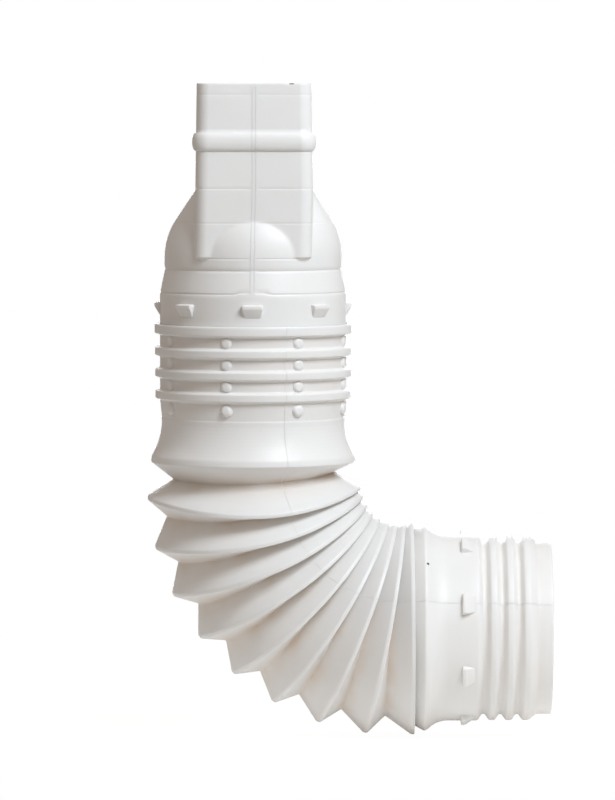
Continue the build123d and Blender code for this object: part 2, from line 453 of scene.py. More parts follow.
@dataclass(frozen=True)
class SnapLug:
    """Wedge that springs past a rim: a flat ledge on one side and a slope down to the wall."""

    length: float = 7.6
    proud: float = 3.1
    ledge_width: float = 12.4
    tip_width: float = 9.4
    crest_start: float = 0.5
    crest_width: float = 11.2
    crest_length: float = 1.9
    sink: float = 1.0
    foot_sink: float = 0.1
    foot_corner: float = 0.3
    corner: float = 1.0
    sides: int = 48
    squareness: float = 9.0

    def outline(self, start: float, length: float, start_width: float, end_width: float) -> np.ndarray:
        """Rounded trapezoid across the lug: a superellipse whose half width runs from one end to the other.

        Args:
            start: Distance of the near end from the ledge.
            length: Length of the outline.
            start_width: Full width at the near end.
            end_width: Full width at the far end.

        Returns:
            Points as distance across and distance along.
        """
        turn = full_turn(self.sides)
        power = 2.0 / self.squareness
        across = np.sign(np.cos(turn)) * np.abs(np.cos(turn)) ** power
        along = np.sign(np.sin(turn)) * np.abs(np.sin(turn)) ** power
        share = (along + 1) / 2
        half = (start_width * (1 - share) + end_width * share) / 2
        return np.stack([across * half, start + length * share], axis=-1)

    def grid(self) -> np.ndarray:
        """Closed wedge: a sunk foot outline rises to a crest near the ledge, with a pole at each end.

        Returns:
            Grid of distance across, distance along and height above the wall.
        """
        foot = self.outline(0.0, self.length, self.ledge_width, self.tip_width)
        crest = self.outline(self.crest_start, self.crest_length, self.crest_width, self.crest_width)
        levels = [(foot, -self.sink), (foot, -self.foot_sink), (crest, self.proud)]
        loops = [np.c_[loop, np.full(self.sides, height)] for loop, height in levels]
        bottom = np.broadcast_to(loops[0].mean(axis=0), loops[0].shape)
        top = np.broadcast_to(loops[2].mean(axis=0), loops[2].shape)
        keys = np.stack([bottom, *loops, top])
        cuts = np.array([0.0, 0.0, self.foot_corner, self.corner, 0.0])
        return rounded_rows(keys, cuts, turns=4, spans=3)


@dataclass(frozen=True)
class SocketNub:
    """Low round nub moulded on the socket's wall."""

    radius: float = 3.4
    top_radius: float = 2.2
    height: float = 1.35
    sink: float = 0.7
    foot_spread: float = 0.2
    foot_corner: float = 0.6
    corner: float = 0.9
    sides: int = 20

    def grid(self) -> np.ndarray:
        """Closed nub: a circle at its foot narrows to one at its top, with a pole at each end.

        Returns:
            Grid of distance across, distance along and height above the wall.
        """
        turn = full_turn(self.sides)
        circle = np.stack([np.cos(turn), np.sin(turn), np.zeros_like(turn)], axis=-1)
        up = np.array([0.0, 0.0, 1.0])
        loops = [
            circle * 0.0 - up * self.sink,
            circle * (self.radius + self.foot_spread) - up * self.sink,
            circle * self.radius,
            circle * self.top_radius + up * self.height,
            circle * 0.0 + up * self.height,
        ]
        cuts = np.array([0.0, 0.0, self.foot_corner, self.corner, 0.0])
        return rounded_rows(np.stack(loops), cuts, turns=3, spans=1)


def wrap_on_tube(grid: np.ndarray, radius: float, turns: np.ndarray, starts: np.ndarray) -> np.ndarray:
    """Lay copies of a flat feature on a tube about the Z axis, its length pointing down.

    Distance across becomes an angle, distance along a drop, and height adds to the radius. An angle of 0
    faces the viewer, along -Y, and grows towards +X.

    Args:
        grid: Feature as distance across, distance along and height.
        radius: Radius of the tube's wall.
        turns: Angle of each copy, in degrees.
        starts: Drop of each copy.

    Returns:
        Grid with one more leading index, for the copy.
    """
    angle = np.radians(turns)[:, None, None] + grid[None, ..., 0] / radius
    reach = radius + grid[None, ..., 2]
    drop = starts[:, None, None] + grid[None, ..., 1]
    return np.stack([reach * np.sin(angle), -reach * np.cos(angle), -drop], axis=-1)


def bead_line(path: np.ndarray, outward: np.ndarray, width: float, height: float) -> np.ndarray:
    """Fine raised line along a path: a flat ellipse carried along it, drawn to a point at each end.

    Args:
        path: Points of the wall that the line follows.
        outward: Unit normals of the wall there.
        width: Full width of the line.
        height: Height above the wall, and as much below it.

    Returns:
        Grid with a pole at each end.
    """
    sides = 8
    turn = full_turn(sides)
    along = np.gradient(path, axis=0)
    along /= np.linalg.norm(along, axis=-1, keepdims=True)
    beside = np.cross(along, outward)
    swell = np.ones(len(path))
    swell[[0, -1]] = 0.0
    ellipse = (
        beside[:, None] * (np.cos(turn) * width / 2)[None, :, None]
        + outward[:, None] * (np.sin(turn) * height)[None, :, None]
    )
    return path[:, None] + ellipse * swell[:, None, None]


@dataclass(frozen=True)
class MouldLine:
    """Faint groove round the adapter, where two inserts of the mould met."""

    drop: float
    depth: float
    steps_up: bool = False
    inlet_only: bool = False


@dataclass
class Adapter:
    """Rectangular-to-round adapter: inlet with a bead, dome, lug band and the spigot in the socket."""

    plastic: bpy.types.Material
    grit_and_shade: bpy.types.Material
    sides: int = 376
    wall: float = 1.5
    inlet_half_width: float = 31.5
    inlet_half_depth: float = 43.3
    inlet_flare: float = 0.8
    flare_length: float = 60.0
    flare_depth_share: float = 0.5
    inlet_corner: float = 7.0
    corner_inset: float = 3.0
    corner_bell: float = 0.12
    corner_packing: float = 3.0
    inlet_end: float = 95.4
    inlet_end_slope: float = 0.9
    inlet_shift: float = 0.9
    shift_top: float = 58.0
    shift_end: float = 100.0
    junction: float = 0.5
    bead_drop: float = 32.1
    bead_half: float = 5.1
    bead_proud: float = 2.1
    dome_radius: float = 49.3
    dome_drop: float = 96.0
    dome_arc: float = 38.6
    dome_slope: float = 33.0
    band_radius: float = 51.8
    spigot_radius: float = 48.2
    spigot_end: float = 186.5
    ring_station: float = 148.4
    ring_radius: float = 51.5
    ring_foot_half: float = 3.4
    ring_flank: float = 2.0
    lug_count: int = 8
    lug_drop: float = 121.2
    mould_lines: tuple[MouldLine, ...] = (
        MouldLine(6.4, 0.12),
        MouldLine(57.8, 0.22),
        MouldLine(76.8, 0.16),
        MouldLine(96.2, 0.2, inlet_only=True),
        MouldLine(103.0, 0.3),
        MouldLine(115.6, 0.45, steps_up=True),
    )
    line_half: float = 0.42
    line_reach: float = 0.8
    line_gap: float = 1.2
    line_fade: float = 2.0
    line_step: float = 0.8
    step_half: float = 10.5
    step_ramp: float = 3.5
    parting_gap: float = 1.9
    parting_width: float = 0.5
    parting_height: float = 0.012
    parting_start: float = 0.8
    parting_end: float = 115.0
    rim_round: float = 0.3
    inner_rim_round: float = 0.25
    nick_x: float = 21.0
    nick_half: float = 2.2
    nick_depth: float = 0.55
    nick_reach: float = 2.0
    mark_x: float = 21.6
    mark_half: float = 1.4
    mark_drop: float = 0.35
    mark_width: float = 0.45
    mark_height: float = 0.08

    def angles(self) -> np.ndarray:
        """Angles round the Z axis, from +X, packed closer at the inlet's corners.

        The packing is the inverse of a running sum of one plus a bell curve at each corner.

        Returns:
            Angles in radians.
        """
        inset = self.corner_inset
        corner = np.arctan2(self.inlet_half_depth - inset, self.inlet_half_width - inset)
        corners = np.array([corner, np.pi - corner, np.pi + corner, 2 * np.pi - corner])
        fine = np.linspace(0.0, 2 * np.pi, 10 * self.sides + 1)
        bells = np.exp(-(((fine[:, None] - corners) / self.corner_bell) ** 2)).sum(axis=1)
        steps = 1.0 + self.corner_packing * (bells[1:] + bells[:-1]) / 2
        total = np.concatenate([[0.0], np.cumsum(steps)])
        return np.interp(np.arange(self.sides) / self.sides, total / total[-1], fine)

    def rectangle(self, drop: np.ndarray, angle: np.ndarray) -> np.ndarray:
        """Distance from the axis to the inlet's rounded rectangle.

        A ray hits the side wall, the front wall or the corner's arc. The bead swells all three by a
        half ellipse, the flare widens the inlet downwards, and below its end the inlet slopes away.

        Args:
            drop: Drops, as a column.
            angle: Angles, as a row.

        Returns:
            Distances, one for each drop and angle.
        """
        swell = 1.0 - ((drop - self.bead_drop) / self.bead_half) ** 2
        bead = self.bead_proud * np.sqrt(np.clip(swell, 0.0, None))
        flare = self.inlet_flare * np.clip(drop / self.flare_length, 0.0, 1.0)
        past = np.clip(drop - self.inlet_end, 0.0, None) * self.inlet_end_slope
        half_width = self.inlet_half_width + flare + bead - past
        half_depth = self.inlet_half_depth + flare * self.flare_depth_share + bead - past
        corner = self.inlet_corner + bead
        c = np.maximum(np.abs(np.cos(angle)), TINY)
        s = np.maximum(np.abs(np.sin(angle)), TINY)
        centre_x = half_width - corner
        centre_y = half_depth - corner
        to_centre = c * centre_x + s * centre_y
        inside = np.clip(to_centre**2 - centre_x**2 - centre_y**2 + corner**2, 0.0, None)
        arc = to_centre + np.sqrt(inside)
        side = half_width / c
        front = half_depth / s
        return np.where(side * s <= centre_y, side, np.where(front * c <= centre_x, front, arc))

    def round_radius(self, drop: np.ndarray) -> np.ndarray:
        """Radius of the round form at each drop.

        A cone leans in above, an arc turns it upright, a shallow neck follows, then a flare to the lug
        band, a rounded shoulder, and the spigot with its snap ring.

        Args:
            drop: Drops.

        Returns:
            Radii.
        """
        slope = np.radians(self.dome_slope)
        centre = self.dome_radius - self.dome_arc
        cone_drop = self.dome_drop - self.dome_arc * np.sin(slope)
        cone_radius = centre + self.dome_arc * np.cos(slope)
        cone = cone_radius - (cone_drop - drop) * np.tan(slope)
        reach = np.clip(self.dome_arc**2 - (drop - self.dome_drop) ** 2, 0.0, None)
        dome = np.where(drop < cone_drop, cone, centre + np.sqrt(reach))
        neck = [(self.dome_drop, self.dome_radius), (101.0, 49.25), (102.6, 48.85), (104.2, 49.2)]
        flare = [(110.0, 50.45), (115.4, 51.55), (116.0, 51.6)]
        band = [(117.4, self.band_radius), (134.2, self.band_radius)]
        shoulder = [(135.0, 51.55), (135.8, 50.9), (136.6, 49.6), (137.8, self.spigot_radius)]
        below = np.interp(drop, *np.transpose(neck + flare + band + shoulder))
        crest = np.abs(drop - self.ring_station)
        rise = np.clip((self.ring_foot_half - crest) / self.ring_flank, 0.0, 1.0)
        ring = rise * (self.ring_radius - self.spigot_radius)
        return np.where(drop < self.dome_drop, dome, below + ring)

    def outer(self, drop: np.ndarray, angle: np.ndarray) -> np.ndarray:
        """Points of the outer skin.

        The distance from the axis is the larger of the inlet's and the round form's, blended by a
        quadratic fillet where they are close. Faint grooves follow the mould's lines and fade out at the
        parting line on the front and the back. The lowest steps up on the front, and the one at the
        inlet's end fades beyond the inlet. The inlet stands a little off the round form's axis.

        Args:
            drop: Drops, one for each row.
            angle: Angles, one for each point of a row.

        Returns:
            Grid of points.
        """
        column = drop[:, None]
        row = angle[None, :]
        box = self.rectangle(column, row)
        tube = self.round_radius(column)
        near = np.clip(self.junction - np.abs(box - tube), 0.0, None)
        reach = np.maximum(box, tube) + near**2 / (4 * self.junction)
        from_parting = np.abs(reach * np.cos(row))
        raised = np.clip((self.step_half - from_parting) / self.step_ramp, 0.0, 1.0) * (np.sin(row) < 0)
        beyond = np.clip(from_parting - self.inlet_half_width, 0.0, 1.0)
        lines = np.zeros_like(reach)
        for line in self.mould_lines:
            centre = line.drop - self.line_step * raised * line.steps_up
            kept = 1.0 - beyond * line.inlet_only
            lines += line.depth * kept * np.exp(-(((column - centre) / self.line_half) ** 2))
        reach = reach - lines * np.clip((from_parting - self.line_gap) / self.line_fade, 0.0, 1.0)
        shift = np.interp(column, [self.shift_top, self.shift_end], [self.inlet_shift, 0.0])
        height = np.broadcast_to(-column, reach.shape)
        return np.stack([reach * np.cos(row) + shift, reach * np.sin(row), height], axis=-1)

    def drops(self) -> np.ndarray:
        """Drops of the rows: even steps, with extra rows at the bead, the lines and the edges."""
        bead = self.bead_drop - self.bead_half * np.cos(np.linspace(0, np.pi, 17))
        near = np.array([self.line_half, self.line_reach])
        offsets = np.concatenate([-near, [0.0], near])
        lines = [line.drop + offset for line in self.mould_lines for offset in offsets]
        rim = np.array([0.35, 0.9])
        inlet_end = self.inlet_end + np.array([-0.4, 0.5, 1.6, 2.4, 3.2])
        shoulder = np.linspace(131.5, 138.0, 14)
        ring = self.ring_station + np.array([-3.4, -2.4, -1.4, 0.0, 1.4, 2.4, 3.4])
        even = np.concatenate(
            [np.linspace(1.6, 56.0, 22), np.linspace(58.5, 99.0, 48), np.linspace(100.0, 128.0, 20)]
        )
        tail = np.array([140.0, 143.0, 155.0, 162.0, 170.0, 178.0, 184.0, 186.0, self.spigot_end])
        return np.unique(np.concatenate([bead, lines, rim, inlet_end, shoulder, ring, even, tail]))

    def shell(self) -> bpy.types.Object:
        """Closed shell: the outer skin, the inner skin a wall's thickness inside it, and both rims.

        The rim on the front has a nick, a short dip of the top edge.

        Returns:
            The finished piece.
        """
        angle = self.angles()
        drop = self.drops()
        outer = self.outer(drop, angle)
        normals = grid_normals(outer)
        radial = np.stack([np.cos(angle), np.sin(angle), np.zeros_like(angle)], axis=-1)
        flip = np.sign((normals * radial).sum(axis=-1).mean())
        inner = (outer - normals * flip * self.wall)[2:-2:2]
        inner_rim = outer[0] - radial * self.wall
        inner_end = outer[-1] - radial * self.wall
        lift = np.array([0.0, 0.0, drop[0]])
        top = outer[:1] - radial * self.rim_round + lift
        inner_top = inner_rim + radial * self.inner_rim_round + lift
        grid = np.concatenate([top, outer, inner_end[None], inner[::-1], inner_rim[None], inner_top[None]])
        front = grid[..., 1] < 0
        across = np.exp(-(((grid[..., 0] - self.nick_x) / self.nick_half) ** 4))
        down = np.clip(1 + grid[..., 2] / self.nick_reach, 0.0, 1.0)
        grid[..., 2] -= self.nick_depth * across * down * front
        piece = closed_grid("adapter_shell", grid, self.plastic)
        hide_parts("downspout_adapter")
        return dress(piece, Body.ADAPTER)

    def lugs(self) -> bpy.types.Object:
        """Ring of snap lugs on the band, one of them facing the viewer.

        Returns:
            The finished piece.
        """
        starts = np.full(self.lug_count, self.lug_drop)
        grid = wrap_on_tube(SnapLug().grid(), self.band_radius, even_turns(self.lug_count), starts)
        piece = closed_grid("adapter_lugs", grid, self.plastic)
        return dress(piece, Body.ADAPTER)

    def parting_lines(self) -> bpy.types.Object:
        """Fine raised lines down the front and the back, where the mould's halves met.

        Returns:
            The finished piece.
        """
        drop = self.drops()
        drop = drop[(drop > self.parting_start) & (drop < self.parting_end)]
        half_gap = self.parting_gap / 2 / self.inlet_half_depth
        step = 0.002
        lines = []
        for face in (-1, 1):
            for turn in (-half_gap, half_gap):
                angle = face * np.pi / 2 + turn + np.array([-step, 0.0, step])
                strip = self.outer(drop, angle)
                normals = np.cross(strip[:, 2] - strip[:, 0], np.gradient(strip[:, 1], axis=0))
                normals /= np.linalg.norm(normals, axis=-1, keepdims=True)
                normals *= np.sign(normals[:, 1:2]) * face
                lines.append(bead_line(strip[:, 1], normals, self.parting_width, self.parting_height))
        piece = closed_grid("adapter_parting_lines", np.stack(lines), self.plastic)
        return dress(piece, Body.ADAPTER)

    def rim_nick_shade(self) -> bpy.types.Object:
        """Dark strip on the rim's front edge at the nick: painted shade, standing for the darker inside
        seen through the nick.

        Returns:
            The finished piece.
        """
        # Painted shade: a strip of the dark grit material stands for the darker inside seen through the
        # nick
        x = self.mark_x + np.linspace(-self.mark_half, self.mark_half, 9)
        y = np.full_like(x, -self.inlet_half_depth)
        path = np.stack([x, y, np.full_like(x, -self.mark_drop)], axis=-1)
        outward = np.broadcast_to(-ACROSS, path.shape)
        line = bead_line(path, outward, self.mark_width, self.mark_height)
        piece = closed_grid("rim_nick_painted_shade", line, self.grit_and_shade)
        return dress(piece, Body.ADAPTER)

    def build(self) -> list[bpy.types.Object]:
        """Build every piece of the adapter."""
        return [self.shell(), self.lugs(), self.parting_lines(), self.rim_nick_shade()]


@dataclass(frozen=True)
class Station:
    """One key section of the elbow: a circle or ellipse across the flow."""

    centre: np.ndarray
    outward: np.ndarray
    reach: float
    breadth: float
    cut: float
    # Weight of the tan tint that paints dust and shade into a groove
    dust_and_shade: float = 0.0
    sag: float = 0.0


@dataclass(frozen=True)
class RingShape:
    """Profile of a ring: half its crest, half its foot, and the rounding of its corners."""

    crest_half: float
    foot_half: float
    cut: float


@dataclass
class Elbow:
    """Ringed socket, skirt, bent bellows and ringed outlet, moulded in one."""

    plastic: bpy.types.Material
    grit_and_shade: bpy.types.Material
    sides: int = 124
    wall: float = 1.5
    bellows_wall: float = 0.9
    shut_wall: float = 0.45
    lip_drop: float = 133.3
    lip_station: float = 136.4
    ring_pitch: float = 12.0
    ring_count: int = 3
    ring_radius: float = 54.6
    socket_ring: RingShape = RingShape(crest_half=1.9, foot_half=3.2, cut=0.4)
    outlet_ring: RingShape = RingShape(crest_half=1.6, foot_half=3.9, cut=0.8)
    ring_taper: float = 0.1
    lip_proud: float = 0.2
    lip_inner_radius: float = 52.1
    # Distance from the edge, and how far the wall stands back there
    lip_rounding: tuple[tuple[float, float], ...] = ((0.0, 0.7), (0.15, 0.25), (0.7, 0.0))
    end_rounding: tuple[tuple[float, float], ...] = ((0.6, 0.0), (0.12, 0.12), (0.0, 0.5))
    socket_radius: float = 51.8
    socket_end: float = 186.5
    socket_end_radius: float = 50.8
    skirt_arc: float = 39.2
    skirt_drop: float = 206.7
    skirt_radius: float = 56.4
    first_ridge_drop: float = 210.0
    first_ridge_radius: float = 56.9
    bend_x: float = 88.1
    bend_drop: float = 223.3
    fold_count: int = 9
    first_fold_angle: float = 2.7
    fold_angle: float = 10.95
    ridge_radius: float = 59.4
    ridge_land: float = 2.1
    ridge_cut: float = 0.6
    valley_cut: float = 0.7
    reach_start: float = 87.6
    reach_end: float = 79.7
    reach_ease: float = 1.6
    first_valley_radius: float = 44.5
    first_valley_lead: float = 9.7
    valley_radius: float = 49.0
    valley_breadth: float = 47.4
    valley_lead: float = 15.4
    ridge_sag: float = 9.6
    first_valley_sag: float = 2.4
    sag_lean: float = 0.2
    sag_ease: float = 1.4
    last_ridge_run: float = 7.1
    last_ridge_radius: float = 57.6
    flare_run: float = 9.2
    flare_radius: float = 56.4
    band_run: float = 20.2
    band_end_run: float = 36.6
    band_radius: float = 51.8
    spigot_radius: float = 48.2
    spigot_ring_radius: float = 51.5
    first_ring_run: float = 44.7
    outlet_ring_pitch: float = 9.3
    last_ring_lead_in: float = 2.0
    end_run: float = 77.4
    end_wall: float = 0.8
    lug_count: int = 8
    lug_turn: float = 19.6
    lug_run: float = 26.9
    nub_count: int = 8
    nub_turn: float = -16.0
    last_nub_lead: float = 1.2
    parting_width: float = 0.5
    parting_height: float = 0.016
    # Tan tint towards the bottom edges: the drop where it starts, the drop over which it grows, and its
    # share
    bottom_tint_drop: float = 338.0
    bottom_tint_fade: float = 20.0
    bottom_tint_share: float = 0.6
    speck_turn: float = 43.4
    speck_run: float = 8.2
    speck_lift: float = 0.5

    def fold_reach(self, fold: int) -> float:
        """Distance from the bend's axis to a ridge's centre, tightening towards the outlet."""
        share = (fold - 1) / (self.fold_count - 1)
        return self.reach_start - (self.reach_start - self.reach_end) * share**self.reach_ease

    def fold_sag(self, fold: int) -> float:
        """How far a ridge sags along the flow at the front and the back, least at the outlet."""
        share = (fold - 1) / (self.fold_count - 1)
        return self.ridge_sag * (1 - share**self.sag_ease)

    def outlet_drop(self) -> float:
        """Drop of the outlet's axis."""
        return self.bend_drop + self.reach_end

    def upright(self, drop: float, radius: float, cut: float, dust_and_shade: float = 0.0) -> Station:
        """Section of the socket, about the Z axis."""
        centre = np.array([0.0, 0.0, -drop])
        return Station(centre, np.array([-1.0, 0.0, 0.0]), radius, radius, cut, dust_and_shade)

    def level(self, run: float, radius: float, cut: float, dust_and_shade: float = 0.0) -> Station:
        """Section of the outlet, about its own axis."""
        centre = np.array([self.bend_x + run, 0.0, -self.outlet_drop()])
        return Station(centre, np.array([0.0, 0.0, -1.0]), radius, radius, cut, dust_and_shade)

    def tilted(
        self,
        fold: int,
        lead: float,
        reach: float,
        breadth: float,
        cut: float,
        dust_and_shade: float = 0.0,
        sag: float = 0.0,
    ) -> Station:
        """Section parallel to a ridge, turned about the bend's axis.

        Args:
            fold: Number of the ridge.
            lead: Distance along the flow from the ridge's middle.
            reach: Half length across the bend.
            breadth: Half length along the bend's axis.
            cut: Rounding of the corner.
            dust_and_shade: Weight of the tan tint on the section: dust and painted shade in the groove.
            sag: How far the section sags along the flow at the front and the back.

        Returns:
            The section.
        """
        angle = np.radians(self.first_fold_angle + self.fold_angle * (fold - 1))
        outward = np.array([-np.cos(angle), 0.0, -np.sin(angle)])
        along = np.array([np.sin(angle), 0.0, -np.cos(angle)])
        centre = np.array([self.bend_x, 0.0, -self.bend_drop])
        middle = centre + outward * self.fold_reach(fold) + along * lead
        return Station(middle, outward, reach, breadth, cut, dust_and_shade, sag)

    def ring(
        self,
        make: Callable[[float, float, float, float], Station],
        shape: RingShape,
        place: float,
        crest: float,
        root: float,
        lead_in: float = 0.0,
    ) -> list[Station]:
        """Sections of one ring with sloped flanks.

        Args:
            make: Method that makes a section from a place, a radius, a cut and a weight of the tan tint for
                dust and painted shade.
            shape: The ring's profile.
            place: Place of the ring's middle.
            crest: Radius of its crest.
            root: Radius of the wall beside it.
            lead_in: Extra length of the far flank.

        Returns:
            Its four sections.
        """
        # Painted shade: the feet of a ring carry half the tan tint, for the shade and dust at its roots
        return [
            make(place - shape.foot_half, root, shape.cut, 0.5),
            make(place - shape.crest_half, crest, shape.cut, 0.0),
            make(place + shape.crest_half, crest, shape.cut, 0.0),
            make(place + shape.foot_half + lead_in, root, shape.cut, 0.5),
        ]

    def socket_stations(self) -> list[Station]:
        """Sections of the socket and its skirt, from the open lip down.

        The skirt is an arc that starts upright at the socket's end.
        """
        lip = self.ring_radius + self.lip_proud
        stations = [self.upright(self.lip_drop + lead, lip - back, 0.0) for lead, back in self.lip_rounding]
        shape = self.socket_ring
        root = self.socket_radius
        stations += self.ring(self.upright, shape, self.lip_station, lip, root)[2:]
        for i in range(self.ring_count):
            place = self.lip_station + self.ring_pitch * (i + 1)
            crest = self.ring_radius - self.ring_taper * i
            stations += self.ring(self.upright, shape, place, crest, root)
        stations.append(self.upright(self.socket_end - 1.3, self.socket_end_radius, cut=0.3, dust_and_shade=0.2))
        stations.append(self.upright(self.socket_end - 0.9, self.socket_end_radius + 0.15, cut=0.0))
        turn = np.arcsin((self.skirt_drop - self.socket_end) / self.skirt_arc)
        for t in np.linspace(0.0, turn, 11)[1:-1]:
            radius = self.socket_end_radius + self.skirt_arc * (1 - np.cos(t))
            stations.append(self.upright(self.socket_end + self.skirt_arc * np.sin(t), radius, 0.0))
        stations.append(self.upright(self.skirt_drop, self.skirt_radius, cut=0.8))
        stations.append(self.upright(self.first_ridge_drop, self.first_ridge_radius, cut=0.5))
        return stations

    def bellows_stations(self) -> list[Station]:
        """Sections of the bellows: a valley, then both edges of a ridge's land, for each fold."""
        ridge = self.ridge_radius
        half_land = self.ridge_land / 2
        radius = self.first_valley_radius
        cut = self.valley_cut
        sag = self.first_valley_sag
        stations = [self.tilted(1, -self.first_valley_lead, radius, radius, cut, 1.0, sag)]
        for fold in range(1, self.fold_count + 1):
            if fold > 1:
                reach = self.valley_radius
                breadth = self.valley_breadth
                stations.append(self.tilted(fold, -self.valley_lead, reach, breadth, cut, 1.0, sag))
            sag = self.fold_sag(fold)
            stations.append(self.tilted(fold, -half_land, ridge, ridge, self.ridge_cut, 0.0, sag))
            stations.append(self.tilted(fold, half_land, ridge, ridge, self.ridge_cut, 0.0, sag))
        valley_run = self.last_ridge_run - self.valley_lead
        stations.append(self.level(valley_run, self.valley_radius, cut, 1.0))
        return stations

    def outlet_stations(self) -> list[Station]:
        """Sections of the flare, the lug band, the ringed spigot and its plain end.

        The flare is an arc that ends level at the band.
        """
        stations = [self.level(self.last_ridge_run, self.last_ridge_radius, cut=0.9)]
        length = self.band_run - self.flare_run
        height = self.flare_radius - self.band_radius
        arc = (length**2 + height**2) / (2 * height)
        turn = np.arcsin(length / arc)
        stations.append(self.level(self.flare_run, self.flare_radius, cut=0.7))
        for t in np.linspace(turn, 0.0, 9)[1:]:
            radius = self.band_radius + arc * (1 - np.cos(t))
            stations.append(self.level(self.band_run - arc * np.sin(t), radius, 0.0))
        stations.append(self.level(self.band_end_run, self.band_radius, cut=1.1))
        stations.append(self.level(self.band_end_run + 2.4, self.spigot_radius, cut=0.6, dust_and_shade=0.4))
        for i in range(self.ring_count):
            place = self.first_ring_run + self.outlet_ring_pitch * i
            lead_in = self.last_ring_lead_in if i == self.ring_count - 1 else 0.0
            crest = self.spigot_ring_radius
            stations += self.ring(self.level, self.outlet_ring, place, crest, self.spigot_radius, lead_in)
        for lead, back in self.end_rounding:
            stations.append(self.level(self.end_run - lead, self.spigot_radius - back, 0.0))
        return stations

    def skin(self) -> tuple[np.ndarray, np.ndarray, np.ndarray, np.ndarray]:
        """Outer skin through every section.

        A point of a section is its centre, plus its outward direction times a cosine, plus the bend's
        axis times a sine. A section that sags moves along the flow by the sine's square, a little more
        on the inside of the bend.

        Returns:
            Points, unit normals, a mark that is 1 in the bellows, and the weight of the tan tint: dust and
            painted shade in the grooves, and a tint at the bottom edges.
        """
        socket = self.socket_stations()
        bellows = self.bellows_stations()
        stations = socket + bellows + self.outlet_stations()
        turn = full_turn(self.sides)
        centre = np.stack([s.centre for s in stations])[:, None]
        outward = np.stack([s.outward for s in stations])[:, None]
        reach = np.array([s.reach for s in stations])[:, None, None]
        breadth = np.array([s.breadth for s in stations])[:, None, None]
        keys = (
            centre
            + outward * reach * np.cos(turn)[None, :, None]
            + ACROSS * breadth * np.sin(turn)[None, :, None]
        )
        sag = np.array([s.sag for s in stations])[:, None, None]
        hang = np.sin(turn) ** 2 * (1 - self.sag_lean * np.cos(turn))
        keys = keys + np.cross(outward, ACROSS) * sag * hang[None, :, None]
        cuts = np.array([s.cut for s in stations])
        folded = np.zeros(len(stations))
        folded[len(socket) - 1 : len(socket) + len(bellows)] = 1.0
        station_dust_and_shade = np.array([s.dust_and_shade for s in stations])
        marks = np.broadcast_to(
            np.stack([folded, station_dust_and_shade], axis=-1)[:, None], (len(stations), self.sides, 2)
        )
        carried = np.concatenate([keys, marks * MARK_SCALE], axis=-1)
        rows = rounded_rows(carried, cuts, turns=3, spans=4)
        outer = rows[..., :3]
        folded = rows[..., 3] / MARK_SCALE
        # Painted shade: the squared tint is strongest in the valleys, where shade falls, and also stands
        # for dust there
        dust_and_shade = np.clip(rows[..., 4] / MARK_SCALE, 0.0, 1.0) ** 2
        # Tan tint that grows towards the bottom edges
        lowness = np.clip((-outer[..., 2] - self.bottom_tint_drop) / self.bottom_tint_fade, 0.0, 1.0)
        dust_and_shade = np.maximum(dust_and_shade, self.bottom_tint_share * lowness**2)
        normals = grid_normals(outer)
        normals *= np.sign((normals[0] * (keys[0] - centre[0])).sum(axis=-1).mean())
        return outer, normals, folded, dust_and_shade

    def shell(self) -> bpy.types.Object:
        """Closed shell: the outer skin, an inner skin inside it, and both rims.

        The wall is thinner in the bellows, and thinnest where the folds are shut.

        Returns:
            The finished piece.
        """
        outer, normals, folded, dust_and_shade = self.skin()
        turn = full_turn(self.sides)
        first = outer[0] - outer[0].mean(axis=0)
        first /= np.linalg.norm(first, axis=-1, keepdims=True)
        last = outer[-1] - outer[-1].mean(axis=0)
        last /= np.linalg.norm(last, axis=-1, keepdims=True)
        shut = (1 - np.cos(turn)) / 2
        thin = self.bellows_wall * (1 - shut) + self.shut_wall * shut
        wall = self.wall * (1 - folded) + thin * folded
        inner = (outer - normals * wall[..., None])[3:-3:2]
        inner_lip = outer[2] - first * (self.ring_radius + self.lip_proud - self.lip_inner_radius)
        inner_end = outer[-1] - last * self.end_wall
        grid = np.concatenate([outer, inner_end[None], inner[::-1], inner_lip[None]])
        # Tan tint on the outer skin only: dust and painted shade in the grooves, and the tint at the bottom
        # edges
        depth = np.concatenate([dust_and_shade, np.zeros((len(inner) + 2, self.sides))])
        piece = closed_grid("elbow_shell", grid, self.plastic, depth)
        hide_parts("flexible_elbow")
        return dress(piece, Body.ELBOW)

    def parting_lines(self) -> bpy.types.Object:
        """Fine raised lines along the whole piece, where the mould's halves met.

        They follow two opposite columns of the skin, through the middle of a lug on the front.

        Returns:
            The finished piece.
        """
        outer, normals, _, _ = self.skin()
        front = round((270.0 - self.lug_turn) / 360.0 * self.sides)
        lines = []
        for column in (front, front - self.sides // 2):
            path = outer[2:-2, column]
            lines.append(bead_line(path, normals[2:-2, column], self.parting_width, self.parting_height))
        piece = closed_grid("elbow_parting_lines", np.stack(lines), self.plastic)
        return dress(piece, Body.ELBOW)

    def nubs(self) -> bpy.types.Object:
        """Rows of nubs in the valleys below the socket's rings.

        Returns:
            The finished piece.
        """
        rows = self.ring_count + 1
        turns = np.tile(even_turns(self.nub_count, self.nub_turn), rows)
        middle = self.lip_station + self.ring_pitch / 2
        places = middle + self.ring_pitch * np.arange(rows)
        places[-1] += self.last_nub_lead
        starts = np.repeat(places, self.nub_count)
        grid = wrap_on_tube(SocketNub().grid(), self.socket_radius, turns, starts)
        piece = closed_grid("socket_nubs", grid, self.plastic)
        return dress(piece, Body.ELBOW)

    def lay_level(self, grid: np.ndarray) -> np.ndarray:
        """Turn what was laid on an upright tube about Y, so that down becomes the outlet's way.

        Args:
            grid: Points about the Z axis, with runs as drops.

        Returns:
            The points about the outlet's axis.
        """
        x, y, z = np.moveaxis(grid, -1, 0)
        return np.stack([self.bend_x - z, y, x - self.outlet_drop()], axis=-1)

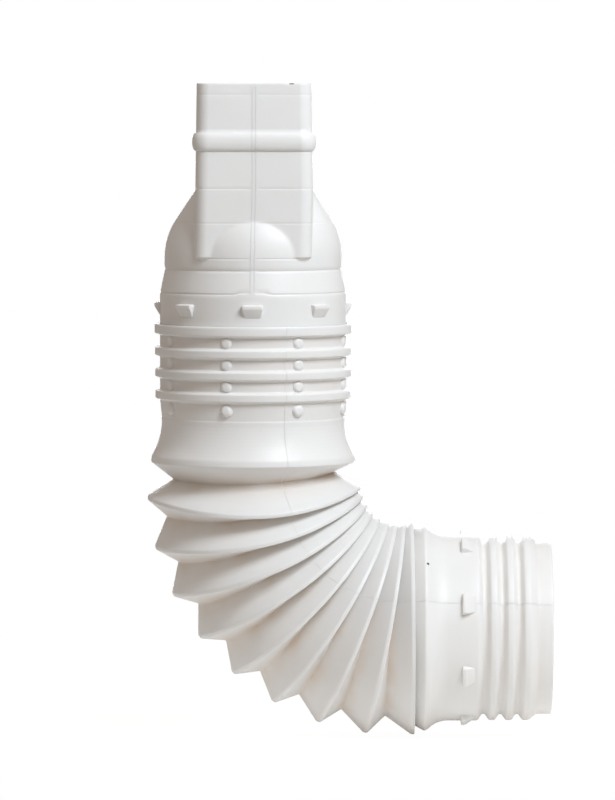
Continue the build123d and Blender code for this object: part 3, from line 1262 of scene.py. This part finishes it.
    def lugs(self) -> bpy.types.Object:
        """Ring of snap lugs on the outlet's band.

        Returns:
            The finished piece.
        """
        turns = even_turns(self.lug_count, self.lug_turn)
        starts = np.full(self.lug_count, self.lug_run)
        grid = wrap_on_tube(SnapLug().grid(), self.band_radius, turns, starts)
        piece = closed_grid("outlet_lugs", self.lay_level(grid), self.plastic)
        return dress(piece, Body.ELBOW)

    def speck(self) -> bpy.types.Object:
        """Speck of grit on the edge of the outlet's flare.

        Returns:
            The finished piece.
        """
        grid = SocketNub(radius=0.75, top_radius=0.45, height=0.35, sink=0.3, corner=0.2, sides=14).grid()
        radius = self.flare_radius + self.speck_lift
        grid = wrap_on_tube(grid, radius, np.array([self.speck_turn]), np.array([self.speck_run]))
        piece = closed_grid("grit_speck", self.lay_level(grid), self.grit_and_shade)
        return dress(piece, Body.ELBOW)

    def build(self) -> list[bpy.types.Object]:
        """Build every piece of the elbow."""
        return [self.shell(), self.parting_lines(), self.nubs(), self.lugs(), self.speck()]


@dataclass(frozen=True)
class Lamp:
    """Square soft lamp: its place and side in millimetres, and its power in watts."""

    name: str
    place: tuple[float, float, float]
    size: float
    power: float
    colour: str


@dataclass
class Studio:
    """Pale floor, soft light and the camera at the photograph's angle."""

    view_x: float = 30.2
    view_drop: float = 176.0
    distance: float = 3220.0
    picture_height: float = 444.4
    sensor: float = 36.0
    sight_m: float = 50.0
    floor_x: float = 110.0
    floor_y: float = 205.0
    floor_radius: float = 460.0
    floor_gap: float = 1.0
    floor_sides: int = 96
    floor_colour: str = "#faf8f5"
    glow: float = 1.06
    glow_to_camera: float = 0.76
    glow_to_all: float = 0.14
    sky_colour: str = "#fff2e6"
    light_below: float = 0.18
    light_above: float = 0.5
    lamps: tuple[Lamp, ...] = (
        Lamp("key_right", (560.0, -740.0, 640.0), 520.0, 12.3, "#eef7ff"),
        Lamp("fill_behind", (60.0, 1300.0, -150.0), 600.0, 9.0, "#eaf3ff"),
    )

    def target(self) -> Vector:
        """Middle of the picture, in metres."""
        return Vector((self.view_x, 0.0, -self.view_drop)) * METRES_PER_MM

    def world(self) -> None:
        """Soft warm surroundings, darker from below, and pure white where the camera sees them."""
        world = bpy.data.worlds.new("studio_white")
        bpy.context.scene.world = world
        world.use_nodes = True
        tree = world.node_tree
        tree.nodes.clear()
        path = add_node(tree, "ShaderNodeLightPath")
        place = add_node(tree, "ShaderNodeTexCoord").outputs["Generated"]
        height = add_node(tree, "ShaderNodeSeparateXYZ", links={0: place}).outputs[2]
        level = add_node(
            tree,
            "ShaderNodeMapRange",
            values={1: -1.0, 2: 1.0, 3: self.light_below, 4: self.light_above},
            links={0: height},
        )
        soft = add_node(
            tree,
            "ShaderNodeBackground",
            values={0: linear_rgba(self.sky_colour)},
            links={1: level.outputs[0]},
        )
        white = add_node(tree, "ShaderNodeBackground", values={0: (1.0, 1.0, 1.0, 1.0), 1: 1.0})
        mix = add_node(
            tree,
            "ShaderNodeMixShader",
            links={0: path.outputs["Is Camera Ray"], 1: soft.outputs[0], 2: white.outputs[0]},
        )
        add_node(tree, "ShaderNodeOutputWorld", links={0: mix.outputs[0]})

    def floor(self, lowest: float) -> bpy.types.Object:
        """Round pale floor just under the object, nearly white to the camera but for the shadow.

        Args:
            lowest: Height of the object's lowest point, in millimetres.

        Returns:
            The floor.
        """
        material = bpy.data.materials.new("matte_paper_floor")
        material.use_nodes = True
        tree = material.node_tree
        tree.nodes.clear()
        path = add_node(tree, "ShaderNodeLightPath")
        paper = add_node(tree, "ShaderNodeBsdfDiffuse", values={"Color": linear_rgba(self.floor_colour)})
        glow = add_node(tree, "ShaderNodeEmission", values={0: (1.0, 1.0, 1.0, 1.0), 1: self.glow})
        share = add_node(
            tree,
            "ShaderNodeMath",
            {"operation": "MULTIPLY_ADD"},
            {1: self.glow_to_camera, 2: self.glow_to_all},
            {0: path.outputs["Is Camera Ray"]},
        )
        mix = add_node(
            tree,
            "ShaderNodeMixShader",
            links={0: share.outputs[0], 1: paper.outputs[0], 2: glow.outputs[0]},
        )
        add_node(tree, "ShaderNodeOutputMaterial", links={0: mix.outputs[0]})
        turn = full_turn(self.floor_sides)
        rim = np.stack([np.cos(turn), np.sin(turn), np.zeros_like(turn)], axis=-1) * self.floor_radius
        points = (rim + np.array([self.floor_x, self.floor_y, lowest - self.floor_gap])) * METRES_PER_MM
        mesh = bpy.data.meshes.new("studio_floor")
        mesh.from_pydata(points.tolist(), [], [list(range(self.floor_sides))])
        mesh.materials.append(material)
        floor = bpy.data.objects.new("studio_floor", mesh)
        bpy.context.scene.collection.objects.link(floor)
        floor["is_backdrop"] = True
        return floor

    def light(self, lamp: Lamp) -> None:
        """Set up a lamp that looks at the middle of the picture.

        Args:
            lamp: The lamp.
        """
        light = bpy.data.lights.new(lamp.name, "AREA")
        light.color = linear_rgba(lamp.colour)[:3]
        light.shape = "SQUARE"
        light.size = lamp.size * METRES_PER_MM
        light.energy = lamp.power
        holder = bpy.data.objects.new(lamp.name, light)
        holder.location = Vector(lamp.place) * METRES_PER_MM
        holder.rotation_euler = (self.target() - holder.location).to_track_quat("-Z", "Y").to_euler()
        bpy.context.scene.collection.objects.link(holder)

    def camera(self) -> bpy.types.Object:
        """Long lens level with the rim, looking slightly down at the middle of the picture.

        Returns:
            The camera.
        """
        lens = bpy.data.cameras.new("long_lens")
        lens.sensor_width = self.sensor
        lens.lens = self.sensor * self.distance / self.picture_height
        lens.clip_end = self.sight_m
        camera = bpy.data.objects.new("camera", lens)
        camera.location = Vector((self.view_x, -self.distance, 0.0)) * METRES_PER_MM
        camera.rotation_euler = (self.target() - camera.location).to_track_quat("-Z", "Y").to_euler()
        bpy.context.scene.collection.objects.link(camera)
        bpy.context.scene.camera = camera
        return camera

    def build(self, lowest: float) -> None:
        """Set up the floor, the light and the camera.

        Args:
            lowest: Height of the object's lowest point, in millimetres.
        """
        bpy.context.scene.view_settings.view_transform = "Standard"
        self.world()
        self.floor(lowest)
        for lamp in self.lamps:
            self.light(lamp)
        self.camera()


def main() -> None:
    """Load the frame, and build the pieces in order."""
    logging.basicConfig(level=logging.INFO, format="%(name)s %(message)s")
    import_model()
    cad_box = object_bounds()
    plastic = MouldedPlastic().build()
    grit_and_shade = GritAndShade().build()
    Adapter(plastic, grit_and_shade).build()
    Elbow(plastic, grit_and_shade).build()
    Studio().build(lowest=cad_box[0][2] / METRES_PER_MM)


if __name__ == "__main__":
    main()
